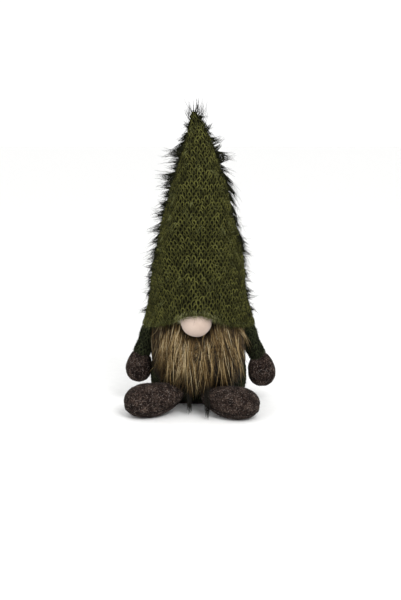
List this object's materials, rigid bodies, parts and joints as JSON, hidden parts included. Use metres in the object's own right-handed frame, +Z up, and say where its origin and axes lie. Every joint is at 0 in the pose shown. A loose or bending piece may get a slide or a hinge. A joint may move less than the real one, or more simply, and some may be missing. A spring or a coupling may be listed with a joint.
{
  "type": "tomte gnome figurine",
  "caption": "Soft stuffed gnome with a tall pointed knitted hat, a round nose, a long fur beard, jointed arms with mittens and felt feet, weighted to sit upright.",
  "frame": {"origin": "underside of the base disc at the floor, below the tip of the hat", "axes": "+Z up to the tip of the hat, -Y the way the nose faces, +X to the figurine's own left"},
  "size_m": [0.2065, 0.1764, 0.394],
  "materials": {
    "green_knit": "fuzzy knit",
    "dark_green_knit": "knit",
    "dark_felt": "melange felt",
    "skin_jersey": "smooth jersey",
    "beard_fur": "long faux fur",
    "cotton": "woven cotton",
    "wadding": "polyester wadding",
    "pellets": "plastic granulate",
    "card": "grey board",
    "thread": "sewing thread"
  },
  "bodies": {
    "body": {"hat_shell": "green_knit", "hat_wad_lower": "wadding", "body_shell": "dark_green_knit", "base_disc": "dark_felt", "base_card": "card", "ballast_bag": "cotton", "ballast_pellets": "pellets", "body_wad": "wadding", "nose_cover": "skin_jersey", "nose_wad": "wadding", "beard_backing": "cotton", "beard_pile": "beard_fur", "left_foot_stitching": "thread", "right_foot_stitching": "thread"},
    "hat_tip": {"hat_wad_tip": "wadding"},
    "left_shoulder": {"left_shoulder_stitching": "thread"},
    "left_arm": {"left_sleeve": "dark_green_knit", "left_sleeve_wad": "wadding"},
    "left_hand": {"left_mitten_front": "dark_felt", "left_mitten_back": "dark_felt", "left_mitten_wad": "wadding"},
    "left_foot": {"left_foot_upper": "dark_felt", "left_foot_sole": "dark_felt", "left_foot_wad": "wadding"},
    "right_shoulder": {"right_shoulder_stitching": "thread"},
    "right_arm": {"right_sleeve": "dark_green_knit", "right_sleeve_wad": "wadding"},
    "right_hand": {"right_mitten_front": "dark_felt", "right_mitten_back": "dark_felt", "right_mitten_wad": "wadding"},
    "right_foot": {"right_foot_upper": "dark_felt", "right_foot_sole": "dark_felt", "right_foot_wad": "wadding"}
  },
  "joints": [
    {"name": "left_arm_lift", "type": "hinge", "parent": "body", "child": "left_shoulder", "pos_m": [0.0605, -0.002, 0.103], "axis": [0, -1, 0], "range_deg": [0, 28]},
    {"name": "left_arm_swing", "type": "hinge", "parent": "left_shoulder", "child": "left_arm", "pos_m": [0.0605, -0.002, 0.103], "axis": [-1, 0, 0], "range_deg": [-40, 45]},
    {"name": "left_wrist_fold", "type": "hinge", "parent": "left_arm", "child": "left_hand", "pos_m": [0.082, -0.004, 0.065], "axis": [-1, 0, 0], "range_deg": [-30, 30]},
    {"name": "left_foot_lift", "type": "hinge", "parent": "body", "child": "left_foot", "pos_m": [0.02594, -0.04679, 0.026], "axis": [-0.8746, -0.4848, 0], "range_deg": [0, 25]},
    {"name": "right_arm_lift", "type": "hinge", "parent": "body", "child": "right_shoulder", "pos_m": [-0.0605, -0.002, 0.103], "axis": [0, 1, 0], "range_deg": [0, 28]},
    {"name": "right_arm_swing", "type": "hinge", "parent": "right_shoulder", "child": "right_arm", "pos_m": [-0.0605, -0.002, 0.103], "axis": [-1, 0, 0], "range_deg": [-40, 45]},
    {"name": "right_wrist_fold", "type": "hinge", "parent": "right_arm", "child": "right_hand", "pos_m": [-0.0785, -0.004, 0.0695], "axis": [-1, 0, 0], "range_deg": [-30, 30]},
    {"name": "right_foot_lift", "type": "hinge", "parent": "body", "child": "right_foot", "pos_m": [-0.03641, -0.04189, 0.026], "axis": [-0.7547, 0.6561, 0], "range_deg": [0, 25]},
    {"name": "hat_tip_bend", "type": "hinge", "parent": "body", "child": "hat_tip", "pos_m": [0, 0, 0.262], "axis": [0, 1, 0], "range_deg": [-25, 25], "stiffness_Nm_per_rad": 0.08, "deforming": ["hat_shell"]}
  ]
}
